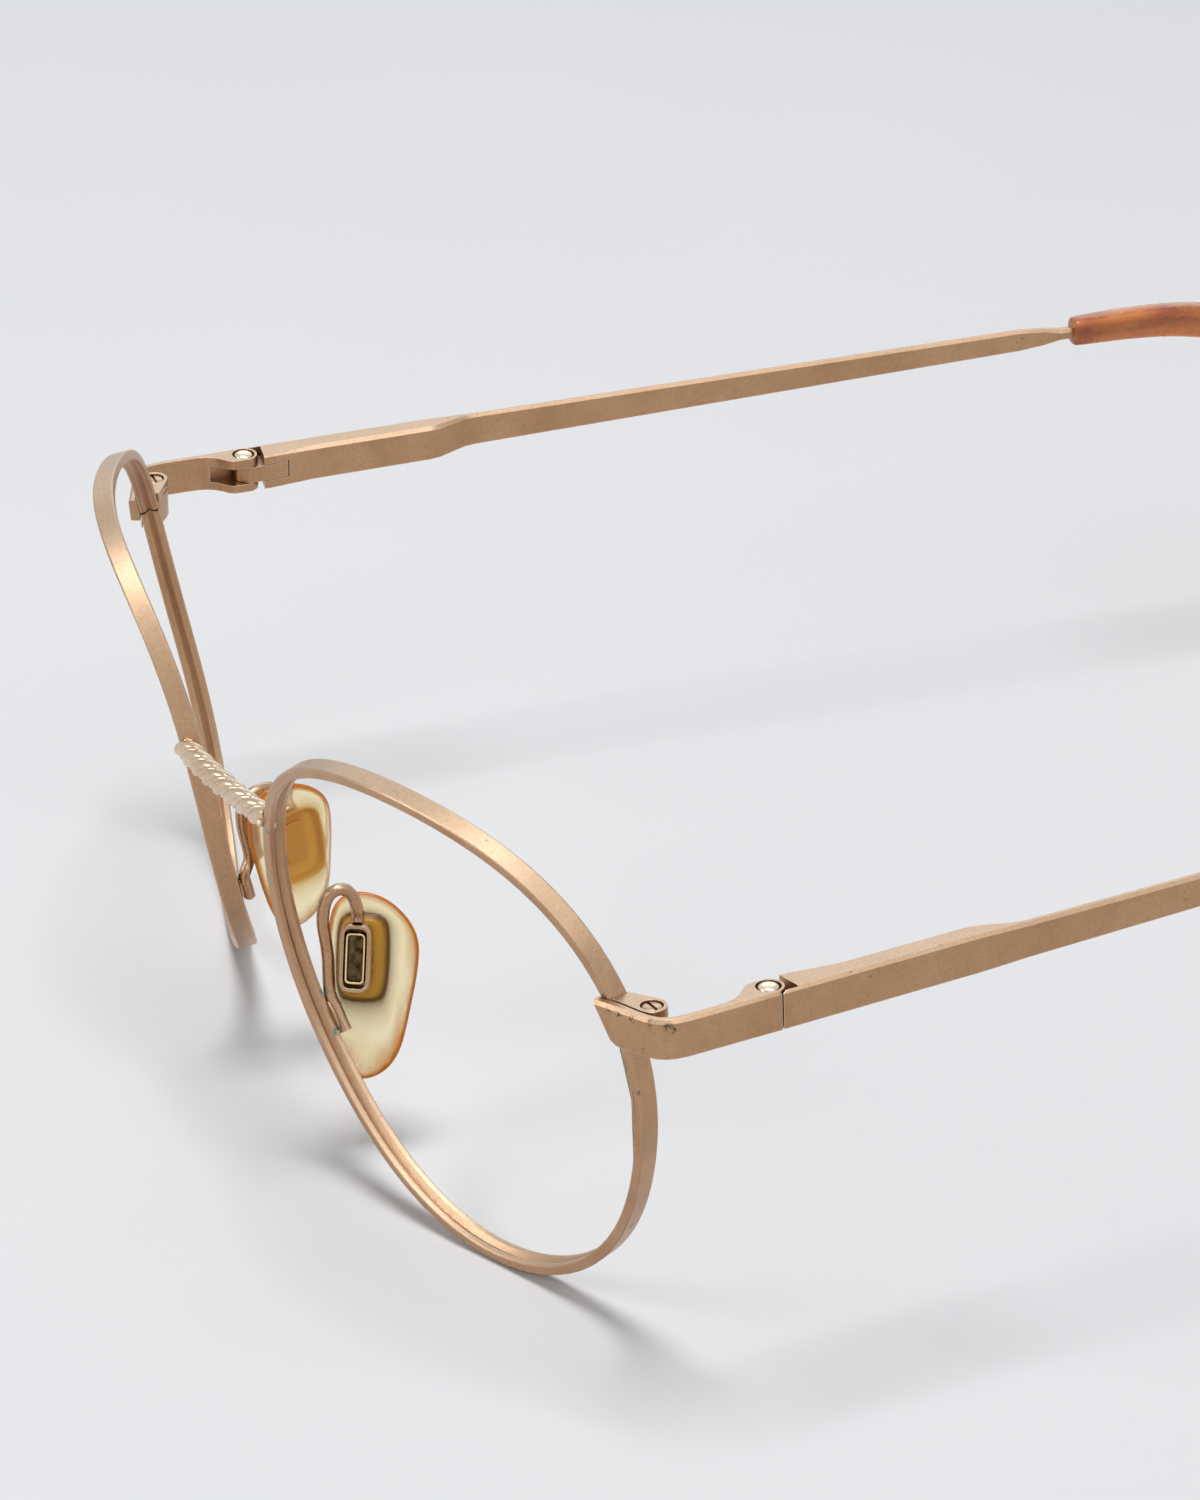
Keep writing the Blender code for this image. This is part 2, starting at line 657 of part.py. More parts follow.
def tip_shape():
    """The acetate tip: a long sleeve, closed at its far end, with a bore for the core wire."""
    end = temple_length()
    sizes = [(TIP_START, 1.05, 1.35), (TIP_START + 0.35, 1.18, 1.52)]
    for i in range(8):
        share = i / 7
        sizes.append((BEND_START + BEND_LONG * share, lerp(1.20, 1.36, share), lerp(1.53, 2.25, share)))
    sizes += [(end - 18.0, 1.42, 2.55), (end - 9.0, 1.40, 2.68), (end - 4.0, 1.28, 2.30)]
    sizes += [(end - 1.4, 1.00, 1.55), (end - 0.3, 0.60, 0.90), (end, 0.35, 0.50)]
    rings = [tip_ring(*size) for size in sizes]
    spare = CORE_RADIUS + 0.10
    bore = [CORE_END + 0.4] + [BEND_START + BEND_LONG * i / 8 for i in range(8, -1, -1)] + [TIP_START]
    for distance in bore:
        rings.append(tip_ring(distance, spare, spare))
    bm = loft(rings, closed=True)
    bm.faces.ensure_lookup_table()
    count = len(rings[0])
    web = bm.faces[(len(sizes) - 1) * count : len(sizes) * count]
    bmesh.ops.delete(bm, geom=web, context="FACES_ONLY")
    bmesh.ops.holes_fill(bm, edges=[edge for edge in bm.edges if edge.is_boundary], sides=0)
    return bm


def build_tip(side, word):
    make("temple_tip_" + word, tip_shape(), MATERIALS["acetate"], side, HINGE, PIVOT)


# Bridge


def strand_edge(reach, radius, away):
    """How far out a round strand comes, seen from the rope's axis at an angle away from its middle."""
    across = reach * math.sin(away)
    if abs(across) >= radius or math.cos(away) < 0:
        return 0.0
    return reach * math.cos(away) + math.sqrt(radius**2 - across**2)


def rope_section(turn):
    """The outline of the strands laid together, turned about the rope's axis."""
    sector = 2 * math.pi / ROPE_STRANDS
    fine_reach = math.sqrt((STRAND_RADIUS + FINE_RADIUS) ** 2 - STRAND_REACH**2)
    points = []
    for strand in range(ROPE_STRANDS):
        for share in (0.0, 0.12, 0.245, 0.335, 0.42, 0.50, 0.58, 0.665, 0.755, 0.88):
            angle = share * sector
            thick = strand_edge(STRAND_REACH, STRAND_RADIUS, min(angle, sector - angle))
            radius = max(thick, strand_edge(fine_reach, FINE_RADIUS, abs(angle - sector / 2)))
            here = turn + strand * sector + angle
            points.append((radius * math.cos(here), radius * math.sin(here)))
    return points


def bridge_path(f):
    """Axis of the rope, f from -1 on the wearer's right to 1 on the left."""
    left = rim_point(LEFT, math.radians(BRIDGE_RIM_ANGLE[LEFT]), 0.30, 0.55)
    right = rim_point(RIGHT, math.radians(BRIDGE_RIM_ANGLE[RIGHT]), 0.30, 0.55)
    right.x = -right.x
    return right.lerp(left, (f + 1) / 2) - Vector((0, BRIDGE_FORWARD * (1 - f * f), 0))


def bridge_shape():
    steps = 66
    rings = []
    travelled = 0.0
    before = bridge_path(-1)
    for i in range(steps + 1):
        f = lerp(-1, 1, i / steps)
        here = bridge_path(f)
        travelled += (here - before).length
        before = here
        along = (bridge_path(f + 0.01) - bridge_path(f - 0.01)).normalized()
        side = Vector((0, 0, 1)).cross(along).normalized()
        up = along.cross(side)
        turn = -2 * math.pi * travelled / ROPE_LEAD
        rings.append([here + side * x + up * y for x, y in rope_section(turn)])
    return loft(rings)


def build_bridge():
    obj = make("bridge_rope", bridge_shape(), MATERIALS["frame"])
    for word in ("left", "right"):
        cut(obj, CUTTERS.objects["rim_by_nose_" + word])


# Nose pads


def pad_axes(side):
    """Outward normal, long axis and backward axis of the left pad."""
    turn = math.radians(PAD_TURN[side])
    splay = math.radians(PAD_SPLAY[side])
    normal = Vector((math.cos(splay) * math.cos(turn), -math.cos(splay) * math.sin(turn), math.sin(splay)))
    up = Vector((0, 0, 1))
    long = (up - normal * up.dot(normal)).normalized()
    roll = Matrix.Rotation(math.radians(-PAD_ROLL[side]), 3, normal)
    long = roll @ long
    return normal, long, long.cross(normal)


def pad_place(side, back, up, out):
    """A point in the pad's own frame, from the centre of its box."""
    normal, long, across = pad_axes(side)
    centre = PAD_CENTRE[side] + Vector((0, 0, RIM_CENTRE_Z))
    return centre + across * back + long * up + normal * out


def soft_oblong(wide, long, radius, count=5, shift=(0, 0)):
    """A rectangle with round corners, as (back, up) pairs."""
    points = []
    for corner in range(4):
        sx = (1, -1, -1, 1)[corner]
        sy = (1, 1, -1, -1)[corner]
        for i in range(count):
            angle = math.pi / 2 * (corner + i / (count - 1))
            x = sx * (wide / 2 - radius) + radius * math.cos(angle)
            y = sy * (long / 2 - radius) + radius * math.sin(angle)
            points.append((x + shift[0], y + shift[1]))
    return points


def pad_outline():
    """The plate from its rear edge, up over the top, down the front edge and round the foot."""
    return [
        (5.40, 0.6), (5.10, 2.0), (4.35, 3.3), (3.20, 4.4), (1.95, 5.2), (0.50, 5.6), (-0.90, 5.6),
        (-2.10, 5.0), (-2.85, 3.9), (-3.10, 2.2), (-3.10, 0.0), (-2.95, -2.5), (-2.70, -5.0),
        (-2.35, -7.5), (-1.90, -9.6), (-1.20, -11.0), (-0.20, -11.75), (0.90, -11.75), (1.90, -11.35),
        (2.90, -10.65), (3.75, -9.35), (4.30, -7.7), (4.80, -4.6), (5.25, -1.8),
    ]


def shrink(outline, amount):
    """Draws an outline in by about the given amount."""
    centre = Vector((sum(x for x, _ in outline), sum(y for _, y in outline))) / len(outline)
    moved = []
    for x, y in outline:
        away = Vector((x, y)) - centre
        moved.append(tuple(centre + away * max(0.02, 1 - amount / away.length)))
    return moved


def pad_shape(side):
    """The plate, its rounded edge and the raised boss, from the nose side outward."""
    plate = pad_outline()
    across, along = PLATE_SHIFT[side]
    rings = []
    for amount, out in ((1.9, -3.60), (0.85, -3.46), (0.22, -3.14), (0.0, -2.84), (0.10, -2.56), (0.40, -2.40)):
        rings.append([pad_place(side, x + across, y + along, out) for x, y in shrink(plate, amount)])
    for wide, long, out in ((5.0, 8.2, -2.36), (4.5, 7.7, -2.20), (4.1, 7.3, -1.60), (3.6, 6.8, -1.38)):
        ring = []
        for x, y in plate:
            angle = math.atan2((y + 3.0) / 8.0, (x - 1.2) / 4.0)
            reach_x = math.copysign(abs(math.cos(angle)) ** 0.5, math.cos(angle)) * wide / 2
            reach_y = math.copysign(abs(math.sin(angle)) ** 0.5, math.sin(angle)) * long / 2
            ring.append(pad_place(side, reach_x + 0.25, reach_y - 0.3, out))
        rings.append(ring)
    return loft(rings)


def box_shape(side):
    """The little open box on the arm, a tube of rounded rectangular section."""
    inner = (BOX_WIDE - 2 * BOX_WALL, BOX_LONG - 2 * BOX_WALL)
    levels = [
        (soft_oblong(*inner, 0.60), -0.95),
        (soft_oblong(BOX_WIDE - 0.2, BOX_LONG - 0.2, 0.95), -0.95),
        (soft_oblong(BOX_WIDE, BOX_LONG, 1.05), -0.82),
        (soft_oblong(BOX_WIDE, BOX_LONG, 1.05), BOX_TALL - 1.08),
        (soft_oblong(BOX_WIDE - 0.24, BOX_LONG - 0.24, 0.93), BOX_TALL - 0.92),
        (soft_oblong(*inner, 0.60), BOX_TALL - 0.95),
    ]
    return loft([[pad_place(side, x, y, out) for x, y in outline] for outline, out in levels], closed=True)


def insert_shape(side):
    """The polished core: a soft block with a deep tray in its outer end."""
    levels = [
        (soft_oblong(INSERT_WIDE, INSERT_LONG, 0.45), -1.95),
        (soft_oblong(INSERT_WIDE, INSERT_LONG, 0.45), 0.55),
        (soft_oblong(INSERT_WIDE - 0.14, INSERT_LONG - 0.14, 0.40), 0.64),
        (soft_oblong(INSERT_WIDE - 0.44, INSERT_LONG - 0.44, 0.30), 0.60),
        (soft_oblong(INSERT_WIDE - 0.52, INSERT_LONG - 0.52, 0.28), -0.06),
    ]
    return loft([[pad_place(side, x, y, out) for x, y in outline] for outline, out in levels])


def arm_path(side):
    """The pad arm: up the back of the rim, over in a loop and down to the box."""
    back = -(RIM_DEPTH / 2 + ARM_RADIUS + HAIR)
    points = [rim_point(side, math.radians(angle), 0.95, back) for angle in ARM_FOOT[side]]
    points += [Vector((x, y, RIM_CENTRE_Z + up)) for x, y, up in ARM_LOOP[side]]
    points.append(pad_place(side, 0.0, BOX_LONG / 2 + 0.75, 0.0))
    points.append(pad_place(side, 0.0, BOX_LONG / 2 + 1.5 * HAIR, 0.0))
    return points


def smooth_path(points, steps):
    """A rounded run through the points."""
    out = []
    last = len(points) - 1
    for i in range(last):
        p0, p1, p2, p3 = points[max(i - 1, 0)], points[i], points[i + 1], points[min(i + 2, last)]
        for j in range(steps):
            t = j / steps
            out.append(0.5 * (2 * p1 + (p2 - p0) * t + (2 * p0 - 5 * p1 + 4 * p2 - p3) * t**2 + (3 * p1 - p0 - 3 * p2 + p3) * t**3))
    out.append(points[-1])
    return out


def wire(name, points, radius, material, side):
    """A round wire through the points, as a curve with filled caps, made into a mesh."""
    curve = bpy.data.curves.new(name, "CURVE")
    curve.dimensions = "3D"
    curve.bevel_depth = radius * MM
    curve.bevel_resolution = 2
    curve.use_fill_caps = True
    spline = curve.splines.new("POLY")
    spline.points.add(len(points) - 1)
    for spot, point in zip(spline.points, points):
        spot.co = (point.x * side * MM, point.y * MM, point.z * MM, 1.0)
    guide = bpy.data.objects.new(name + "_guide", curve)
    PARTS.objects.link(guide)
    bpy.context.view_layer.update()
    mesh = bpy.data.meshes.new_from_object(guide.evaluated_get(bpy.context.evaluated_depsgraph_get()))
    bpy.data.objects.remove(guide, do_unlink=True)
    bm = bmesh.new()
    bm.from_mesh(mesh)
    bpy.data.meshes.remove(mesh)
    bmesh.ops.remove_doubles(bm, verts=bm.verts, dist=0.00001)
    outward(bm)
    made = bpy.data.meshes.new(name)
    bm.to_mesh(made)
    bm.free()
    made.materials.append(material)
    obj = bpy.data.objects.new(name, made)
    PARTS.objects.link(obj)
    return obj


def build_pad(side, word):
    pin_at = pad_place(side, 0, 0, PIN_DEPTH)
    across = pad_axes(side)[2]
    arm = wire("pad_arm_" + word, smooth_path(arm_path(side), 2), ARM_RADIUS, MATERIALS["frame"], side)
    holder = make("pad_box_" + word, box_shape(side), MATERIALS["frame"], side)
    pad = make("nose_pad_" + word, pad_shape(side), MATERIALS["pad"], side, pivot=pin_at)
    insert = make("pad_insert_" + word, insert_shape(side), MATERIALS["gold"], side, pivot=pin_at)
    socket = soft_oblong(INSERT_WIDE + 0.14, INSERT_LONG + 0.14, 0.50)
    socket_shape = loft([[pad_place(side, x, y, out) for x, y in socket] for out in (-2.05, 0.5)])
    cut(pad, make_cutter("pad_socket_" + word, socket_shape, side))
    pin = turned([(0.20, 0.04 - BOX_WIDE / 2), (0.20, BOX_WIDE / 2 - 0.04)], pin_at, across, 12)
    make("pad_pin_" + word, pin, MATERIALS["steel"], side, pivot=pin_at)
    hole = make_cutter("pad_pin_hole_" + word, turned([(0.25, -3), (0.25, 3)], pin_at, across, 12), side)
    cut(holder, hole)
    cut(insert, hole)
    cut(arm, CUTTERS.objects["rim_by_nose_" + word])


def centre_on_box():
    """Moves the whole object so that its origin is on the table, under the middle of its box."""
    bpy.context.view_layer.update()
    places = [obj.matrix_world @ vertex.co for obj in PARTS.objects for vertex in obj.data.vertices]
    middle = (min(place.y for place in places) + max(place.y for place in places)) / 2
    lowest = min(place.z for place in places)
    for obj in list(PARTS.objects) + list(CUTTERS.objects):
        obj.location.y -= middle
        obj.location.z -= lowest


PARTS, CUTTERS = start_scene()
HINGE = hinge_frame()
MATERIALS = {
    "frame": material("champagne_metal", (0.52, 0.33, 0.20), 1.0, 0.42),
    "steel": material("screw_metal", (0.60, 0.50, 0.38), 1.0, 0.30),
    "spring": material("spring_steel", (0.55, 0.55, 0.56), 1.0, 0.30),
    "gold": material("polished_gold", (0.83, 0.62, 0.25), 1.0, 0.15),
    "acetate": material("amber_acetate", (0.62, 0.22, 0.04), 0.0, 0.25),
    "pad": material("pale_yellow_plastic", (0.85, 0.66, 0.36), 0.0, 0.20),
}
for SIDE, WORD in ((1, "left"), (-1, "right")):
    make_cutter("rim_by_hinge_" + WORD, rim_envelope(SIDE, 4, 46), SIDE)
    make_cutter("rim_by_nose_" + WORD, rim_envelope(SIDE, 140, 228), SIDE)
    make("rim_" + WORD, rim_shape(SIDE), MATERIALS["frame"], SIDE)
    build_closing(SIDE, WORD)
    build_end_piece(SIDE, WORD)
    build_pivot_screw(SIDE, WORD)
    build_temple(SIDE, WORD)
    build_slider(SIDE, WORD)
    build_tip(SIDE, WORD)
    build_pad(SIDE, WORD)
build_bridge()
centre_on_box()
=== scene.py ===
"""The looks of the round wire eyeglasses: finer skins, materials, soft light and the camera."""
import json
import math

import bmesh
import bpy
import numpy as np
from mathutils import Matrix, Vector
from mathutils.bvhtree import BVHTree
from mathutils.geometry import convex_hull_2d


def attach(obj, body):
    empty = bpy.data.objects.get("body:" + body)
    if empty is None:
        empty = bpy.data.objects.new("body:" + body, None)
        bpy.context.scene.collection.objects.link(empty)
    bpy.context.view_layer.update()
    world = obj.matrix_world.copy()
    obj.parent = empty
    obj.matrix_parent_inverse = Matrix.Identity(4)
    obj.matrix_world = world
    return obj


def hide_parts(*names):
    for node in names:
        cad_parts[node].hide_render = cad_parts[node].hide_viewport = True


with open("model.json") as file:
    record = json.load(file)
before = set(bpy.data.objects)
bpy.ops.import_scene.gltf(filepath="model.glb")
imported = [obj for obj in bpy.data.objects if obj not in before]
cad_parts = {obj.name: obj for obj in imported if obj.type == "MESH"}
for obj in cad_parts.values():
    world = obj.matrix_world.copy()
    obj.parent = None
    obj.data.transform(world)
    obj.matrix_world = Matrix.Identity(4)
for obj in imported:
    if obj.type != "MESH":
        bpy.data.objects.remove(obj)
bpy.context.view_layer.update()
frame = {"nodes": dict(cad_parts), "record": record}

NODES = frame["nodes"]
BODIES = frame["record"]["behaviour"]["bodies"]
BODY_OF = {node: body for body, members in BODIES.items() for node in members}

# Lengths are in millimetres and angles in degrees, unless a comment says otherwise.
MM = 0.001

# How the solids' meshes are cleaned: the gap that is joined, and the angles that count as flat.
MERGE_GAP = 0.002
FLAT_ANGLE = 0.4
QUAD_ANGLE = 25.0
PAD_QUAD_ANGLE = 30.0

# The bridge's rope: the solid's strands. Its left end stands 0.35 higher than the solid's, as photographed.
ROPE_RIGHT = Vector((-9.848, -78.659, 32.504))
ROPE_LEFT = Vector((10.812, -78.849, 35.15))
ROPE_FORWARD = 0.35
ROPE_LEAD = 5.6
ROPE_STRANDS = 2
STRAND_RADIUS = 0.62
STRAND_REACH = 0.55
STRAND_SIDES = 20
FINE_RADIUS = 0.30
FINE_SIDES = 12
STRAND_STEPS = 150

# The fillet of solder at the foot of each pad arm.
SOLDER_REACH = 3.4
SOLDER_WIDE = 0.72
SOLDER_TALL = 0.30
SOLDER_LIFT = 0.12
SOLDER_THIN = 0.10
SOLDER_TAPER = 0.55
SOLDER_SIDES = 10
SOLDER_STEPS = 6
ARM_BAND = 0.75

# The nose pads: how far the amber reaches in from the edge, and heights out from the box's centre.
AMBER_REACH = 0.70
BOSS_FOOT = (-2.30, -2.20)
BOSS_WALL = (-2.1, -1.3)
TRAY_BACK = (-1.2, -0.8)
TRAY_LIP = (0.30, 0.56)

# Marks of wear on the metal: dark specks and spots of verdigris, each a point and a radius.
SPECKS = (
    ((56.0, -66.7, 36.3), 0.45),
    ((57.0, -66.3, 36.4), 0.35),
    ((58.4, -65.7, 36.5), 0.40),
    ((60.0, -64.8, 36.8), 0.45),
    ((60.9, -63.6, 36.7), 0.55),
    ((61.1, -63.2, 36.3), 0.40),
    ((59.6, -65.1, 34.0), 0.35),
    ((56.1, -64.0, 28.0), 0.40),
    ((50.1, -61.6, 11.1), 0.40),
)
GREEN_SPOTS = (
    ((10.0, -73.5, 16.2), 0.55),
    ((12.0, -73.1, 13.0), 0.60),
    ((11.1, -79.0, 34.0), 0.40),
    ((8.7, -76.3, 29.3), 0.45),
)

# Colours, linear. A pair is the lighter and the darker tone of one material.
CHAMPAGNE = ((0.54, 0.32, 0.175), (0.46, 0.255, 0.13))
SATIN_WIRE = ((0.52, 0.31, 0.17), (0.42, 0.23, 0.11))
BRUSHED_ROPE = ((0.82, 0.64, 0.47), (0.72, 0.53, 0.36))
BARE = (0.30, 0.165, 0.085)
# Pale edges: wear, and a painted highlight along them.
WORN_EDGE_AND_HIGHLIGHT = (0.80, 0.62, 0.44)
# Paler tops: dust, and painted light on the upward faces.
TOP_DUST_AND_LIGHT = (0.43, 0.36, 0.265)
# Dark brown for pits and specks, and for grime and painted shade in the corners.
GRIME_AND_SHADE = (0.085, 0.045, 0.022)
VERDIGRIS = (0.015, 0.16, 0.13)
SCREW = (0.80, 0.68, 0.52)
DULL_SCREW = (0.50, 0.36, 0.24)
SPRING = (0.60, 0.60, 0.61)
GOLD = (0.90, 0.66, 0.30)
# Painted shade deep in the pad's tray.
TRAY_SHADE = (0.025, 0.014, 0.006)
ACETATE = ((0.80, 0.27, 0.055), (0.50, 0.13, 0.030))
ACETATE_STREAK = (0.90, 0.42, 0.11)
PLASTIC = ((0.99, 0.87, 0.57), (0.98, 0.84, 0.50))
PLASTIC_EDGE = (0.70, 0.21, 0.004)
PLASTIC_SPECK = (0.30, 0.14, 0.03)
TABLE = ((0.825, 0.833, 0.850), (0.815, 0.824, 0.842))
DUST = (0.60, 0.60, 0.61)

# The boss behind each pad's plate: the colour of its wall and of its top. The left one is painted darker, as
# shade, with its wall darker than its top.
BOSS_TONES_LEFT_SHADED = {
    "left": ((0.13, 0.045, 0.001), (0.58, 0.28, 0.012)),
    "right": ((0.85, 0.43, 0.004), (0.85, 0.43, 0.004)),
}

# The plain background, the sky's tint and strengths, and how far out the table fades away.
BACKDROP = (0.83, 0.84, 0.86)
SKY = (0.96, 0.98, 1.0)
SKY_LOW = 0.24
SKY_HIGH = 0.12
TABLE_FADES = (380.0, 900.0)
TABLE_HALF = 4.0  # metres
TABLE_DROP = 0.02

# Camera, from the fit to the photograph: its target, angles and distance.
TARGET = Vector((0.0, -50.857, 20.43))
AZIMUTH = 66.2274
ELEVATION = 27.8795
ROLL = -0.0985
DISTANCE = 531.337
FOCAL_PIXELS = 5755.31
SHIFT_PIXELS = (90.2742, 103.9169)
IMAGE_WIDE = 1200
SENSOR = 36.0


# Node building


def feed(tree, node, sockets):
    """Sets a node's inputs, each from a value or a socket to link from."""
    for key, value in sockets.items():
        if isinstance(value, bpy.types.NodeSocket):
            tree.links.new(value, node.inputs[key])
        else:
            node.inputs[key].default_value = value


def add(tree, kind, sockets=None, **settings):
    """A shader node with its settings and its inputs."""
    made = tree.nodes.new(kind)
    for key, value in settings.items():
        setattr(made, key, value)
    feed(tree, made, sockets or {})
    return made


def maths(tree, operation, one, two):
    return add(tree, "ShaderNodeMath", {0: one, 1: two}, operation=operation).outputs[0]


def vectors(tree, operation, *given):
    """Vector maths: a vector, or a value for distances, lengths and dot products."""
    made = add(tree, "ShaderNodeVectorMath", dict(enumerate(given)), operation=operation)
    plain = operation in ("DISTANCE", "LENGTH", "DOT_PRODUCT")
    return made.outputs["Value" if plain else "Vector"]


def noise(tree, where, scale, detail=3.0, roughness=0.55):
    sockets = {"Vector": where, "Scale": scale, "Detail": detail, "Roughness": roughness}
    return add(tree, "ShaderNodeTexNoise", sockets).outputs[0]


def cells(tree, where, scale):
    """The distance to the nearest of evenly scattered points."""
    sockets = {"Vector": where, "Scale": scale, "Randomness": 1.0}
    return add(tree, "ShaderNodeTexVoronoi", sockets).outputs["Distance"]


def ramp(tree, value, low, high, start=0.0, end=1.0):
    """Carries a value from low..high to start..end, held at both ends."""
    sockets = {"Value": value, "From Min": low, "From Max": high, "To Min": start, "To Max": end}
    return add(tree, "ShaderNodeMapRange", sockets, clamp=True).outputs[0]


def rgba(colour):
    """A colour with full alpha. A socket stays as it is."""
    return colour if isinstance(colour, bpy.types.NodeSocket) else (*colour, 1.0)


def mix(tree, share, one, two):
    """Mixes two colours by a share."""
    sockets = {0: share, 6: rgba(one), 7: rgba(two)}
    return add(tree, "ShaderNodeMix", sockets, data_type="RGBA").outputs[2]


def new_material(name):
    """A Principled material, its tree and shader, and object coordinates in millimetres."""
    made = bpy.data.materials.new(name)
    made.use_nodes = True
    tree = made.node_tree
    shader = tree.nodes["Principled BSDF"]
    metres = add(tree, "ShaderNodeTexCoord").outputs["Object"]
    where = vectors(tree, "MULTIPLY", metres, (1 / MM, 1 / MM, 1 / MM))
    return made, tree, shader, where


def bump(tree, strength, depth, height, edge=0.0):
    """A bump of the given depth, over edges that are rounded where an edge radius is given."""
    sockets = {"Strength": strength, "Distance": depth * MM, "Height": height}
    if edge:
        sockets["Normal"] = add(tree, "ShaderNodeBevel", {"Radius": edge * MM}, samples=4).outputs[0]
    return add(tree, "ShaderNodeBump", sockets).outputs[0]


def openness(tree, reach):
    """1 in the open, falling to 0 deep in a corner."""
    return add(tree, "ShaderNodeAmbientOcclusion", {"Distance": reach * MM}, samples=6).outputs["AO"]


def background_seen(tree):
    """1 for rays that see the plain background: from the camera, off gloss and through clear plastic."""
    ray = add(tree, "ShaderNodeLightPath")
    seen = maths(tree, "MAXIMUM", ray.outputs["Is Camera Ray"], ray.outputs["Is Glossy Ray"])
    return maths(tree, "MAXIMUM", seen, ray.outputs["Is Transmission Ray"])


# Wear, grime and painted light on the metal, each as a share


def edge_wear_and_highlight(tree, facing):
    """Up to half along the edges, where a rounded normal leaves the face's own: pale wear and a painted
    highlight.
    """
    rounded = add(tree, "ShaderNodeBevel", {"Radius": 0.16 * MM}, samples=6).outputs[0]
    return ramp(tree, vectors(tree, "DOT_PRODUCT", rounded, facing), 0.90, 0.985, 0.50, 0.0)


def pits_in_patches(tree, where, share):
    dots = ramp(tree, cells(tree, where, 0.85), 0.07, 0.13, 1.0, 0.0)
    patch = ramp(tree, noise(tree, where, 0.23, detail=2.0), 0.56, 0.62)
    return maths(tree, "MULTIPLY", maths(tree, "MULTIPLY", dots, patch), share)


def grime_and_shade_in_corners(tree, where, share):
    """Grime and painted shade that fill the corners, thin in places."""
    dirt_and_shade = ramp(tree, openness(tree, 0.7), 0.15, 0.70, share, 0.0)
    uneven = ramp(tree, noise(tree, where, 1.1), 0.30, 0.62, 0.35, 1.0)
    return maths(tree, "MULTIPLY", dirt_and_shade, uneven)


def ragged_spots(tree, where, spots, scale, low, high):
    """Ragged spots round the given points, each with its radius."""
    total = 0.0
    for point, radius in spots:
        share = ramp(tree, vectors(tree, "DISTANCE", where, point), radius * 0.35, radius, 1.0, 0.0)
        total = maths(tree, "MAXIMUM", total, share)
    ragged = ramp(tree, noise(tree, where, scale, detail=4.0, roughness=0.7), low, high)
    return maths(tree, "MULTIPLY", total, ragged)


# Materials


def plating_tone(tree, where, tones):
    """The plating's colour: uneven, paler on top with dust and painted top light, clouded, speckled, and pale
    at its edges with wear and a painted highlight.
    """
    light, dark = tones
    uneven = ramp(tree, noise(tree, where, 0.16, detail=4.0), 0.38, 0.66)
    colour = mix(tree, uneven, light, dark)
    facing = add(tree, "ShaderNodeNewGeometry").outputs["Normal"]
    upward = add(tree, "ShaderNodeSeparateXYZ", {0: facing}).outputs["Z"]
    # Paler on the upward faces: dust, and painted light on the tops.
    colour = mix(tree, ramp(tree, upward, 0.25, 0.90, 0.0, 0.60), colour, TOP_DUST_AND_LIGHT)
    cloud = ramp(tree, noise(tree, where, 1.7, detail=4.0, roughness=0.65), 0.55, 0.75, 0.0, 0.30)
    colour = mix(tree, cloud, colour, BARE)
    speckle = ramp(tree, noise(tree, where, 4.2, detail=2.0, roughness=0.6), 0.36, 0.64, 0.0, 0.30)
    colour = mix(tree, speckle, colour, BARE)
    return mix(tree, edge_wear_and_highlight(tree, facing), colour, WORN_EDGE_AND_HIGHLIGHT)


def plated(name, tones, rough, grain=0.35, pits=0.5, grime_and_shade=0.85, green=True):
    """Matte plated metal with a blasted grain, pits, grime and painted shade in the corners, dark specks and
    spots of verdigris.
    """
    made, tree, shader, where = new_material(name)
    pit = pits_in_patches(tree, where, pits)
    dirt_and_shade = grime_and_shade_in_corners(tree, where, grime_and_shade)
    colour = mix(tree, pit, plating_tone(tree, where, tones), GRIME_AND_SHADE)
    # Grime and painted shade darken the corners.
    colour = mix(tree, dirt_and_shade, colour, GRIME_AND_SHADE)
    colour = mix(tree, ragged_spots(tree, where, SPECKS, 3.1, 0.46, 0.52), colour, GRIME_AND_SHADE)
    metallic = 1.0
    if green:
        crust = ragged_spots(tree, where, GREEN_SPOTS, 2.6, 0.47, 0.53)
        colour = mix(tree, crust, colour, VERDIGRIS)
        metallic = maths(tree, "SUBTRACT", 1.0, crust)
    sheen = ramp(tree, noise(tree, where, 7.0, roughness=0.6), 0.3, 0.7, rough - 0.05, rough + 0.07)
    height = noise(tree, where, 5.5, roughness=0.7)
    height = maths(tree, "SUBTRACT", height, maths(tree, "MULTIPLY", pit, 1.5))
    feed(tree, shader, {
        "Base Color": colour,
        "Metallic": metallic,
        "Roughness": maths(tree, "ADD", sheen, maths(tree, "MULTIPLY", dirt_and_shade, 0.25)),
        "Normal": bump(tree, grain, 0.02, height, edge=0.07),
        "Coat Weight": 0.3,
        "Coat Roughness": 0.30,
    })
    return made


